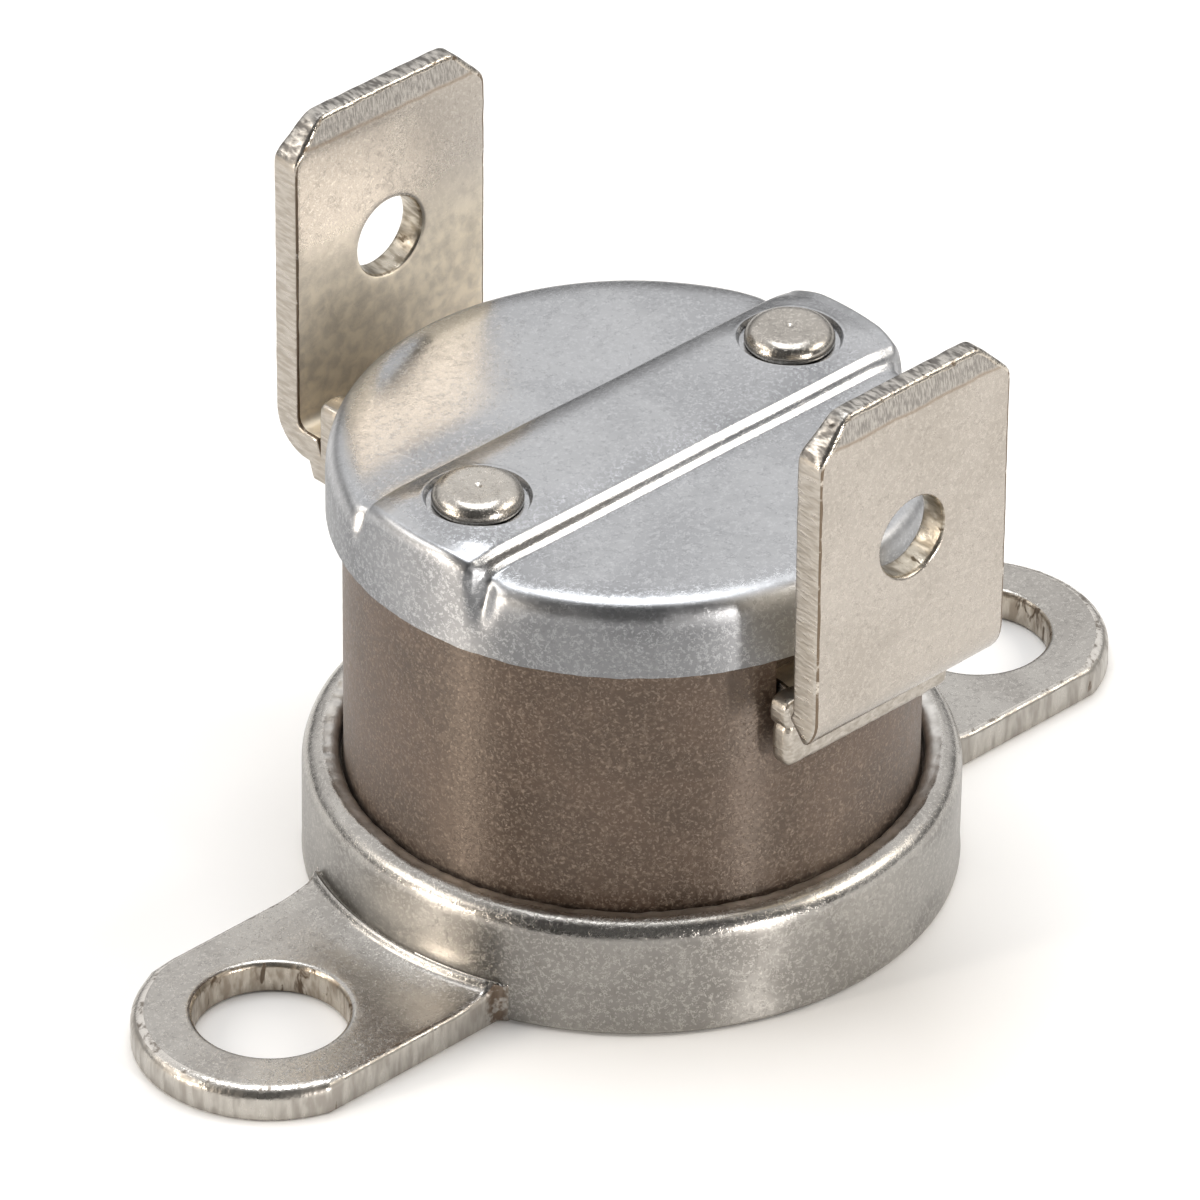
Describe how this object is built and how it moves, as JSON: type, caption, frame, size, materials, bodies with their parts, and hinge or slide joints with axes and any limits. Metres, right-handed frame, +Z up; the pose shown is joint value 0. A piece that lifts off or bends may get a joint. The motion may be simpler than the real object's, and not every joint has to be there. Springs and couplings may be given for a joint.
{
  "type": "bimetal thermostat",
  "caption": "Disc-type snap-action temperature switch: aluminium base cup with two screw ears, brown moulded body, riveted metal cap and push-on tabs.",
  "frame": {"origin": "centre of the base cup's flat underside, the sensing face", "axes": "+X along the line of the two ears, +Y from the front tab to the rear tab, +Z up through the cap"},
  "size_m": [0.0308, 0.019, 0.018],
  "materials": {
    "cup_aluminium": "satin, fine curled scratches",
    "disc_steel": "rolled",
    "guide_ceramic": "unglazed",
    "pin_ceramic": "ground",
    "body_moulding": "moulded, fine speckle, slight sheen",
    "tab_nickel": "nickel plate, fine pitting",
    "contact_silver": "bright",
    "arm_copper": "rolled",
    "clamp_brass": "stamped",
    "insulator_moulding": "moulded",
    "cap_aluminium": "satin, tumbled grain",
    "rivet_nickel": "nickel plate",
    "washer_steel": "plain"
  },
  "bodies": {
    "thermostat": {"base_cup": "cup_aluminium", "bimetal_disc": "disc_steel", "guide_plate": "guide_ceramic", "housing": "body_moulding", "tab_front": "tab_nickel", "tab_rear": "tab_nickel", "fixed_contact": "contact_silver", "contact_arm": "arm_copper", "arm_clamp": "clamp_brass", "arm_rivet_left": "clamp_brass", "arm_rivet_right": "clamp_brass", "cover_insulator": "insulator_moulding", "top_cap": "cap_aluminium", "cover_rivet_left": "rivet_nickel", "cover_rivet_right": "rivet_nickel", "rivet_washer_left": "washer_steel", "rivet_washer_right": "washer_steel"},
    "pin": {"transfer_pin": "pin_ceramic"},
    "contact": {"moving_contact": "contact_silver"}
  },
  "joints": [
    {"name": "pin_lift", "type": "slide", "parent": "thermostat", "child": "pin", "axis": [0, 0, 1], "range_m": [0, 0.0004], "stiffness_N_per_m": 100, "deforming": ["bimetal_disc"]},
    {"name": "contact_swing", "type": "hinge", "parent": "thermostat", "child": "contact", "pos_m": [0, 0.0034, 0.00915], "axis": [-1, 0, 0], "range_deg": [0, 6.88], "deforming": ["contact_arm"]}
  ],
  "couplings": [
    {"joint": "contact_swing", "follows": "pin_lift", "rad_per_m": 294.12}
  ]
}
